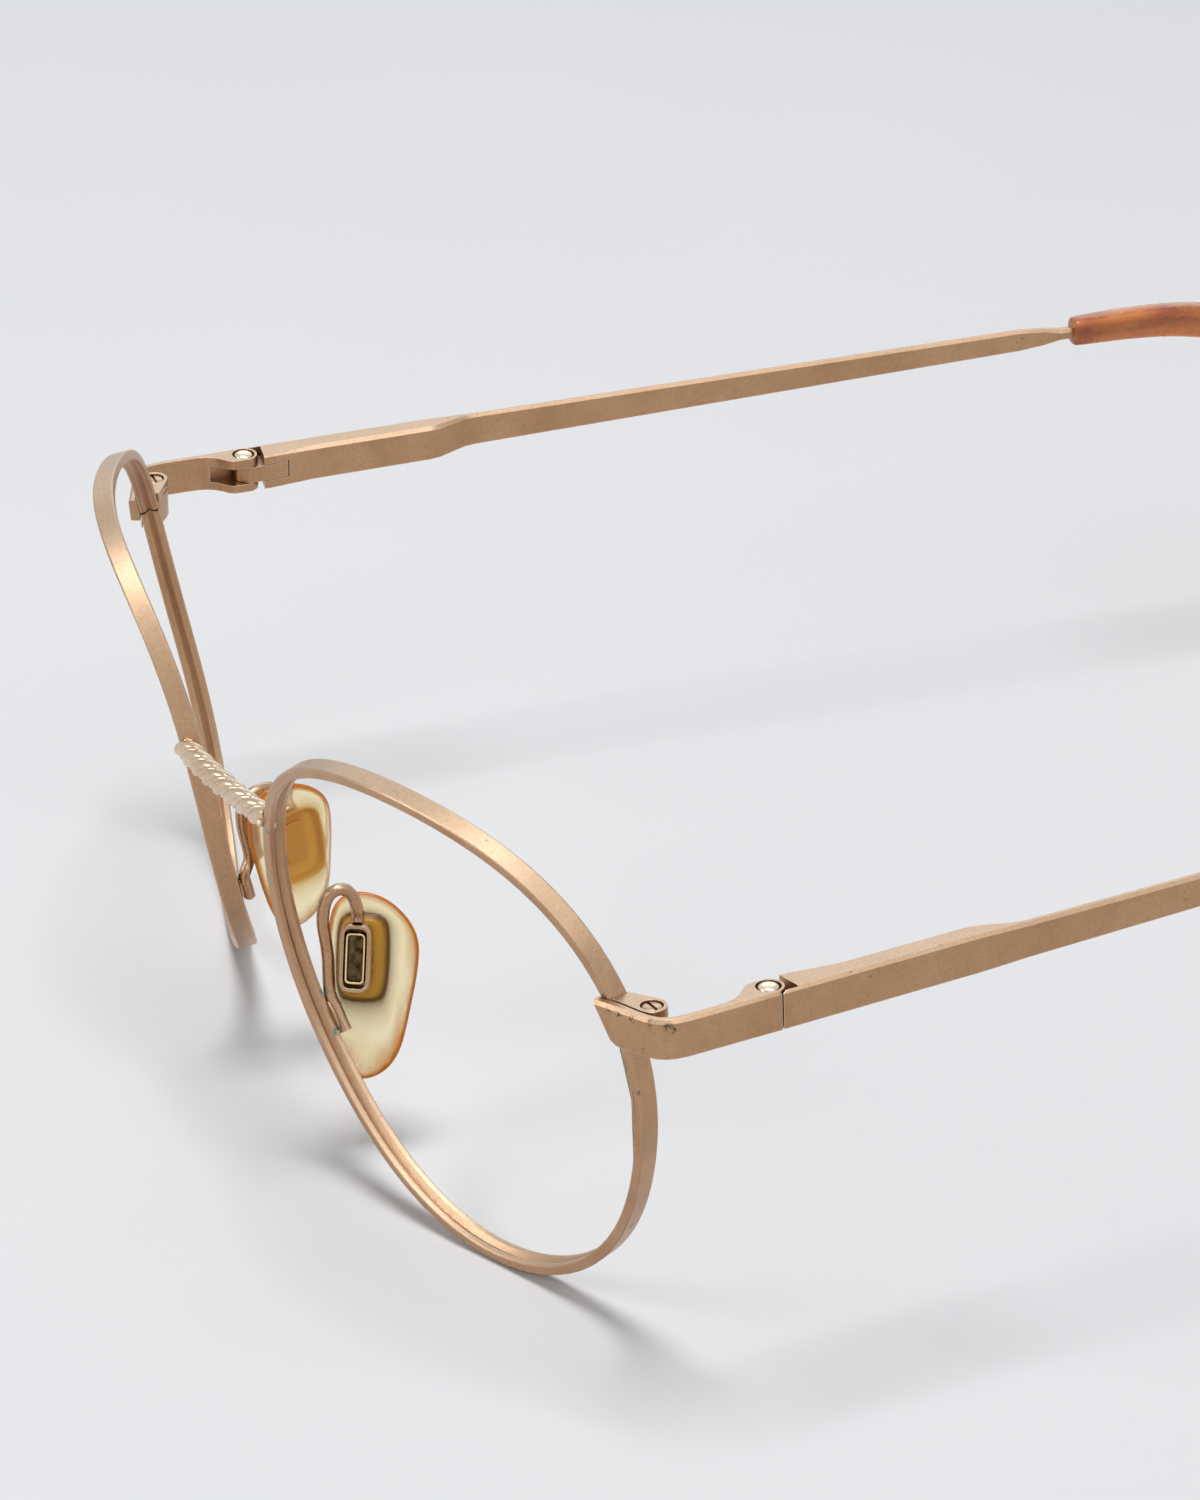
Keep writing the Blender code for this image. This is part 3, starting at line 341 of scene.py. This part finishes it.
def polish(tree, shader, where, base, rough):
    """Makes a shader polished metal with hairline scratches, darker in its corners with grime and painted
    shade. Returns its colour, which isn't linked yet.
    """
    hair = noise(tree, vectors(tree, "MULTIPLY", where, (0.6, 6.0, 0.9)), 3.0, detail=4.0, roughness=0.6)
    feed(tree, shader, {
        "Metallic": 1.0,
        "Roughness": ramp(tree, hair, 0.35, 0.75, rough, rough + 0.14),
        "Normal": bump(tree, 0.25, 0.01, hair, edge=0.06),
    })
    uneven = ramp(tree, noise(tree, where, 0.9), 0.35, 0.65, 0.0, 0.35)
    colour = mix(tree, uneven, base, [value * 0.72 for value in base])
    # Darker deep in corners: grime and painted shade.
    return mix(tree, ramp(tree, openness(tree, 0.6), 0.2, 0.7, 0.8, 0.0), colour, GRIME_AND_SHADE)


def bright(name, base, rough):
    """Polished metal, darker in its corners with grime and painted shade."""
    made, tree, shader, where = new_material(name)
    feed(tree, shader, {"Base Color": polish(tree, shader, where, base, rough)})
    return made


def height_over(tree, where, centre, normal):
    """How far a point lies out from a pad box's centre along its normal."""
    return vectors(tree, "DOT_PRODUCT", vectors(tree, "SUBTRACT", where, centre / MM), normal)


def tray_gold(name, centre, normal):
    """The pad's polished core, bright at its lip and painted dark brown with shade down in the tray."""
    made, tree, shader, where = new_material(name)
    colour = polish(tree, shader, where, GOLD, 0.10)
    out = height_over(tree, where, centre, normal)
    # Painted shade: dark brown down in the tray, below the lip.
    deep = maths(tree, "MULTIPLY", ramp(tree, out, *TRAY_LIP, 1.0, 0.0), ramp(tree, out, *TRAY_BACK))
    shade_unevenness = ramp(tree, noise(tree, where, 1.2), 0.35, 0.65, 0.85, 1.0)
    colour = mix(tree, maths(tree, "MULTIPLY", deep, shade_unevenness), colour, TRAY_SHADE)
    feed(tree, shader, {"Base Color": colour})
    return made


def acetate(name):
    """Amber acetate: layers of orange and brown, clear enough for the wire to show through."""
    made, tree, shader, where = new_material(name)
    light, dark = ACETATE
    stretch = vectors(tree, "MULTIPLY", where, (1.0, 0.35, 1.0))
    layer = ramp(tree, noise(tree, stretch, 0.35, detail=4.0, roughness=0.6), 0.40, 0.62)
    streak = ramp(tree, noise(tree, stretch, 1.1), 0.55, 0.72, 0.0, 0.5)
    feed(tree, shader, {
        "Base Color": mix(tree, streak, mix(tree, layer, light, dark), ACETATE_STREAK),
        "Roughness": ramp(tree, noise(tree, where, 1.4), 0.3, 0.7, 0.16, 0.32),
        "Normal": bump(tree, 0.12, 0.04, noise(tree, stretch, 2.2)),
        "Transmission Weight": 0.45,
        "IOR": 1.48,
        "Subsurface Weight": 0.25,
        "Subsurface Radius": (1.0, 0.35, 0.1),
        "Subsurface Scale": 1.5 * MM,
        "Coat Weight": 0.3,
        "Coat Roughness": 0.12,
    })
    return made


def pad_plastic(name, centre, normal, boss_tones):
    """Clear pale yellow plastic that has turned amber at its edge and on the boss behind the plate."""
    made, tree, shader, where = new_material(name)
    light, dark = PLASTIC
    wall, top = boss_tones
    edge_share = add(tree, "ShaderNodeAttribute", attribute_name="edge_share").outputs["Fac"]
    edge = ramp(tree, edge_share, 0.38, 0.75)
    out = height_over(tree, where, centre, normal)
    boss = ramp(tree, out, *BOSS_FOOT)
    cloud = ramp(tree, noise(tree, where, 0.30), 0.38, 0.66)
    colour = mix(tree, edge, mix(tree, cloud, light, dark), PLASTIC_EDGE)
    # The boss's wall and top: the left boss's dark wall below a lighter top is painted shade and light.
    colour = mix(tree, boss, colour, mix(tree, ramp(tree, out, *BOSS_WALL), wall, top))
    dots = ramp(tree, cells(tree, where, 0.9), 0.05, 0.09, 0.35, 0.0)
    clear = maths(tree, "SUBTRACT", 0.97, maths(tree, "MULTIPLY", edge, 0.72))
    feed(tree, shader, {
        "Base Color": mix(tree, dots, colour, PLASTIC_SPECK),
        "Roughness": ramp(tree, noise(tree, where, 0.8, detail=4.0), 0.35, 0.7, 0.05, 0.16),
        "Normal": bump(tree, 0.10, 0.05, noise(tree, where, 0.7)),
        "Transmission Weight": maths(tree, "SUBTRACT", clear, maths(tree, "MULTIPLY", boss, 0.85)),
        "IOR": 1.36,
    })
    return made


def table_material():
    """Pale table top with faint clouds and dust, which fades into the plain background far out."""
    made, tree, shader, where = new_material("table_top")
    light, dark = TABLE
    cloud = ramp(tree, noise(tree, where, 0.012), 0.35, 0.65)
    dust = ramp(tree, cells(tree, where, 0.035), 0.010, 0.022, 0.10, 0.0)
    feed(tree, shader, {
        "Base Color": mix(tree, dust, mix(tree, cloud, light, dark), DUST),
        "Roughness": 0.75,
        "Specular IOR Level": 0.2,
    })
    away = ramp(tree, vectors(tree, "LENGTH", where), *TABLE_FADES)
    share = maths(tree, "MULTIPLY", away, background_seen(tree))
    plain = add(tree, "ShaderNodeEmission", {"Color": rgba(BACKDROP), "Strength": 1.0})
    blend = add(tree, "ShaderNodeMixShader", {0: share, 1: shader.outputs[0], 2: plain.outputs[0]})
    feed(tree, tree.nodes["Material Output"], {"Surface": blend.outputs[0]})
    return made


# Skins over the solids


def cleaned(name, quad_angle=0.0):
    """A copy of a node's mesh, with split corners joined, flat faces whole and, where asked, quads."""
    bm = bmesh.new()
    bm.from_mesh(NODES[name].data)
    bmesh.ops.remove_doubles(bm, verts=bm.verts, dist=MERGE_GAP * MM)
    bmesh.ops.dissolve_limit(bm, angle_limit=math.radians(FLAT_ANGLE), verts=bm.verts, edges=bm.edges)
    if quad_angle:
        wide = math.radians(quad_angle)
        bmesh.ops.join_triangles(bm, faces=bm.faces, angle_face_threshold=wide, angle_shape_threshold=math.pi)
    return bm


def shade(bm, sharp, crease=0.0):
    """Smooth faces, with the edges over the given angle kept keen."""
    layer = bm.edges.layers.float.get("crease_edge") or bm.edges.layers.float.new("crease_edge")
    for face in bm.faces:
        face.smooth = True
    for edge in bm.edges:
        keen = len(edge.link_faces) != 2 or edge.calc_face_angle(0.0) > math.radians(sharp)
        edge.smooth = not keen
        edge[layer] = crease if keen else 0.0


def place(name, bm, look, body, stands_for=(), levels=0):
    """A new piece from a mesh in metres, with its material, riding on a body."""
    mesh = bpy.data.meshes.new(name)
    bm.to_mesh(mesh)
    bm.free()
    mesh.materials.append(look)
    obj = bpy.data.objects.new(name, mesh)
    bpy.context.scene.collection.objects.link(obj)
    if levels:
        smooth = obj.modifiers.new("smooth", "SUBSURF")
        smooth.levels = levels
        smooth.render_levels = levels
    else:
        even = obj.modifiers.new("even", "WEIGHTED_NORMAL")
        even.keep_sharp = True
    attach(obj, body)
    if stands_for:
        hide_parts(*stands_for)


def skin(name, look, levels=0, sharp=36.0, crease=0.9):
    """Stands for a node with a finer skin, subdivided where asked."""
    bm = cleaned(name, QUAD_ANGLE if levels else 0.0)
    shade(bm, sharp, crease)
    place(name + "_skin", bm, look, BODY_OF[name], (name,), levels)


def own_axes(name):
    """Centre and axes of a node's own box, longest first, from how its points spread."""
    points = np.array([vertex.co for vertex in NODES[name].data.vertices])
    points = np.unique(points.round(7), axis=0)
    axes = np.linalg.svd(points - points.mean(0), full_matrices=False)[2]
    local = points @ axes.T
    centre = (local.min(0) + local.max(0)) / 2 @ axes
    return Vector(centre), [Vector(axis) for axis in axes]


def pad_frame(word):
    """The centre of a pad's box and its axes: long, across and out from the plate."""
    centre, (long, across, normal) = own_axes("pad_box_" + word)
    plate = NODES["nose_pad_" + word].data.vertices
    middle = sum((vertex.co for vertex in plate), Vector()) / len(plate)
    if (middle - centre).dot(normal) > 0:
        normal = -normal
    return centre, long, across, normal


def edge_gap(spot, outline):
    """How far a flat point lies from the nearest side of a closed outline."""
    gaps = []
    for one, two in zip(outline, outline[1:] + outline[:1]):
        along = (two - one).normalized()
        gaps.append(abs(along.x * (spot - one).y - along.y * (spot - one).x))
    return min(gaps)


def pad_skin(word, look):
    """The nose pad, with each point's share of the amber at its edge."""
    name = "nose_pad_" + word
    centre, long, across = pad_frame(word)[:3]
    bm = cleaned(name, PAD_QUAD_ANGLE)
    flat = [Vector(((v.co - centre).dot(across), (v.co - centre).dot(long))) for v in bm.verts]
    outline = [flat[i] for i in convex_hull_2d(flat)]
    edge_layer = bm.verts.layers.float.new("edge_share")
    for vertex, spot in zip(bm.verts, flat):
        vertex[edge_layer] = max(0.0, 1.0 - edge_gap(spot, outline) / (AMBER_REACH * MM))
    shade(bm, 62.0, 0.8)
    place(name + "_skin", bm, look, BODY_OF[name], (name,), 2)


# The bridge's rope and the solder


def close_tube(bm, rings):
    """Faces between rings of points, with a flat end at each side."""
    sides = len(rings[0])
    for one, two in zip(rings, rings[1:]):
        for j in range(sides):
            k = (j + 1) % sides
            bm.faces.new((one[j], one[k], two[k], two[j]))
    bm.faces.new(rings[0])
    bm.faces.new(rings[-1])


def rope_axis(f):
    """The rope's axis, f from 0 on the wearer's right to 1 on the left."""
    return ROPE_RIGHT.lerp(ROPE_LEFT, f) - Vector((0, ROPE_FORWARD * 4 * f * (1 - f), 0))


def strand_line(phase, reach):
    """Points down the middle of a strand, each with its point on the rope's axis."""
    length = (ROPE_LEFT - ROPE_RIGHT).length
    line = []
    for i in range(STRAND_STEPS + 1):
        f = i / STRAND_STEPS
        hub = rope_axis(f)
        along = (rope_axis(f + 0.001) - rope_axis(f - 0.001)).normalized()
        side = Vector((0, 0, 1)).cross(along).normalized()
        up = along.cross(side)
        turn = phase - 2 * math.pi * length * f / ROPE_LEAD
        line.append((hub + (side * math.cos(turn) + up * math.sin(turn)) * reach, hub))
    return line


def strand(bm, phase, reach, radius, sides):
    """One strand of the rope, wound round its axis."""
    line = strand_line(phase, reach)
    last = len(line) - 1
    rings = []
    for i, (spot, hub) in enumerate(line):
        along = (line[min(i + 1, last)][0] - line[max(i - 1, 0)][0]).normalized()
        radial = (spot - hub).normalized()
        radial = (radial - along * radial.dot(along)).normalized()
        across = along.cross(radial)
        ring = []
        for j in range(sides):
            angle = 2 * math.pi * j / sides
            out = radial * math.cos(angle) + across * math.sin(angle)
            ring.append(bm.verts.new((spot + out * radius) * MM))
        rings.append(ring)
    close_tube(bm, rings)


def build_rope(look):
    """Two thick strands, with a finer one laid in each furrow between them."""
    bm = bmesh.new()
    fine_reach = math.sqrt((STRAND_RADIUS + FINE_RADIUS) ** 2 - STRAND_REACH**2)
    sector = 2 * math.pi / ROPE_STRANDS
    for i in range(ROPE_STRANDS):
        strand(bm, sector * i, STRAND_REACH, STRAND_RADIUS, STRAND_SIDES)
        strand(bm, sector * (i + 0.5), fine_reach, FINE_RADIUS, FINE_SIDES)
    bmesh.ops.recalc_face_normals(bm, faces=bm.faces)
    shade(bm, 50.0)
    place("bridge_rope_strands", bm, look, "front", ("bridge_rope",))


def arm_foot(word):
    """The middle line of the foot of a pad arm, from its lowest end up."""
    points = [vertex.co for vertex in NODES["pad_arm_" + word].data.vertices]
    low = min(co.z for co in points)
    line = []
    for i in range(SOLDER_STEPS):
        level = low + SOLDER_REACH * MM * (i + 0.5) / SOLDER_STEPS
        band = [co for co in points if abs(co.z - level) < ARM_BAND * MM]
        line.append(sum(band, Vector()) / len(band))
    return line


def build_solder(word, look):
    """A fillet of solder between the foot of the pad arm and the back of the rim."""
    rim = NODES["rim_" + word].data
    tree = BVHTree.FromPolygons([v.co for v in rim.vertices], [tuple(p.vertices) for p in rim.polygons])
    line = arm_foot(word)
    last = len(line) - 1
    bm = bmesh.new()
    rings = []
    for i, here in enumerate(line):
        spot = tree.find_nearest(here)[0]
        out = (here - spot).normalized()
        along = (line[min(i + 1, last)] - line[max(i - 1, 0)]).normalized()
        across = along.cross(out).normalized()
        swell = 1.0 - SOLDER_TAPER * (2 * i / last - 1) ** 2
        ring = []
        for j in range(SOLDER_SIDES):
            angle = 2 * math.pi * j / SOLDER_SIDES
            wide = math.cos(angle) * SOLDER_WIDE * swell
            tall = math.sin(angle) * SOLDER_TALL * swell + SOLDER_LIFT - SOLDER_THIN * math.cos(angle) ** 2
            ring.append(bm.verts.new(spot + (across * wide + out * tall) * MM))
        rings.append(ring)
    close_tube(bm, rings)
    bmesh.ops.recalc_face_normals(bm, faces=bm.faces)
    shade(bm, 80.0)
    place("solder_arm_" + word, bm, look, "front", levels=1)


# Light, table and camera


def build_world():
    """A dim sky for light, and the plain background for the rays that see it."""
    world = bpy.data.worlds.new("studio")
    bpy.context.scene.world = world
    world.use_nodes = True
    tree = world.node_tree
    spot = add(tree, "ShaderNodeTexCoord").outputs["Generated"]
    height = add(tree, "ShaderNodeSeparateXYZ", {0: spot}).outputs["Z"]
    sky = ramp(tree, height, 0.0, 0.8, SKY_LOW, SKY_HIGH)
    seen = background_seen(tree)
    strength = add(tree, "ShaderNodeMix", {0: seen, 2: sky, 3: 1.0}, data_type="FLOAT").outputs[0]
    feed(tree, tree.nodes["Background"], {"Color": mix(tree, seen, SKY, BACKDROP), "Strength": strength})


def area(name, wide, long, watts, spot, aim, colour=(1.0, 1.0, 1.0)):
    """An oval area light at a spot in metres, aimed at a point."""
    light = bpy.data.lights.new(name, "AREA")
    light.shape = "ELLIPSE"
    light.size = wide
    light.size_y = long
    light.energy = watts
    light.color = colour
    obj = bpy.data.objects.new(name, light)
    obj.location = spot
    obj.rotation_euler = (Vector(aim) - Vector(spot)).to_track_quat("-Z", "Y").to_euler()
    bpy.context.scene.collection.objects.link(obj)


def build_lights():
    """One soft light overhead that casts the shadows, and three wide ones that fill in."""
    middle = (0.0, -0.04, 0.02)
    area("overhead", 0.34, 0.40, 5.3, (-0.04, -0.10, 1.0), (0.0, -0.05, 0.0))
    area("window", 0.9, 0.9, 1.7, (-0.95, 0.42, 0.58), middle, (0.97, 0.98, 1.0))
    area("ceiling", 0.9, 0.9, 2.5, (0.52, 0.12, 0.98), middle)
    area("front", 0.6, 0.45, 3.0, (-0.12, -1.05, 0.66), (0.0, -0.06, 0.02))


def build_table():
    mesh = bpy.data.meshes.new("table_top")
    bm = bmesh.new()
    bmesh.ops.create_grid(bm, x_segments=1, y_segments=1, size=TABLE_HALF)
    bm.to_mesh(mesh)
    bm.free()
    mesh.materials.append(table_material())
    table = bpy.data.objects.new("table_top", mesh)
    table.location.z = -TABLE_DROP * MM
    bpy.context.scene.collection.objects.link(table)


def build_camera():
    """The photograph's camera, with its shift."""
    azimuth, elevation, roll = (math.radians(angle) for angle in (AZIMUTH, ELEVATION, ROLL))
    level = math.cos(elevation)
    back = Vector((math.sin(azimuth) * level, -math.cos(azimuth) * level, math.sin(elevation)))
    right = Vector((math.cos(azimuth), math.sin(azimuth), 0))
    up = back.cross(right)
    turned_right = right * math.cos(roll) + up * math.sin(roll)
    turned_up = up * math.cos(roll) - right * math.sin(roll)
    matrix = Matrix((turned_right, turned_up, back)).transposed().to_4x4()
    matrix.translation = (TARGET + back * DISTANCE) * MM
    lens = bpy.data.cameras.new("camera")
    lens.sensor_fit = "HORIZONTAL"
    lens.sensor_width = SENSOR
    lens.lens = FOCAL_PIXELS / IMAGE_WIDE * SENSOR
    lens.shift_x = SHIFT_PIXELS[0] / IMAGE_WIDE
    lens.shift_y = SHIFT_PIXELS[1] / IMAGE_WIDE
    lens.clip_start = 0.01
    camera = bpy.data.objects.new("camera", lens)
    camera.matrix_world = matrix
    bpy.context.scene.collection.objects.link(camera)
    bpy.context.scene.camera = camera


# The whole model


def carry_over(name, look):
    """Leaves a node as it is, with a new material."""
    materials = NODES[name].data.materials
    materials.clear()
    materials.append(look)


def dress_front(word, metal, wire, screw, dull):
    """The rim, its blocks and strap, the pad arm and box, the screws and the solder of one side."""
    skin("rim_" + word, metal, levels=1, sharp=30.0, crease=0.75)
    for name in ("closing_block_upper_", "closing_block_lower_", "end_piece_"):
        skin(name + word, metal, sharp=20.0)
    skin("pad_arm_" + word, wire, sharp=50.0)
    skin("pad_box_" + word, wire, levels=1, sharp=50.0)
    skin("pivot_screw_" + word, screw, sharp=45.0)
    skin("closing_screw_" + word, dull, sharp=45.0)
    carry_over("pad_pin_" + word, screw)
    build_solder(word, metal)


def dress_temple(word, metal, tip, spring):
    """The temple, its tip and its sprung hinge of one side."""
    for name in ("temple_", "hinge_slider_"):
        skin(name + word, metal, sharp=20.0)
    skin("temple_tip_" + word, tip, levels=2, sharp=70.0, crease=0.5)
    for name in ("slider_stem_", "slider_collar_", "hinge_spring_"):
        carry_over(name + word, spring)


def dress_pad(word):
    """The nose pad and its core of one side."""
    centre, long, across, normal = pad_frame(word)
    gold = tray_gold("polished_gold_" + word, centre, normal)
    plastic = pad_plastic("pad_plastic_" + word, centre, normal, BOSS_TONES_LEFT_SHADED[word])
    skin("pad_insert_" + word, gold, levels=1, sharp=40.0)
    pad_skin(word, plastic)


def main():
    metal = plated("champagne_metal", CHAMPAGNE, 0.38)
    wire = plated("champagne_wire", SATIN_WIRE, 0.27, grain=0.15, pits=0.3, grime_and_shade=0.7)
    rope = plated("champagne_rope", BRUSHED_ROPE, 0.20, grain=0.08, pits=0.0, grime_and_shade=0.45, green=False)
    screw = bright("screw_metal", SCREW, 0.14)
    dull = bright("screw_metal_dull", DULL_SCREW, 0.24)
    spring = bright("spring_steel", SPRING, 0.25)
    tip = acetate("amber_acetate")
    for word in ("left", "right"):
        dress_front(word, metal, wire, screw, dull)
        dress_temple(word, metal, tip, spring)
        dress_pad(word)
    build_rope(rope)
    build_table()
    build_world()
    build_lights()
    build_camera()
    bpy.context.scene.view_settings.view_transform = "Standard"


main()
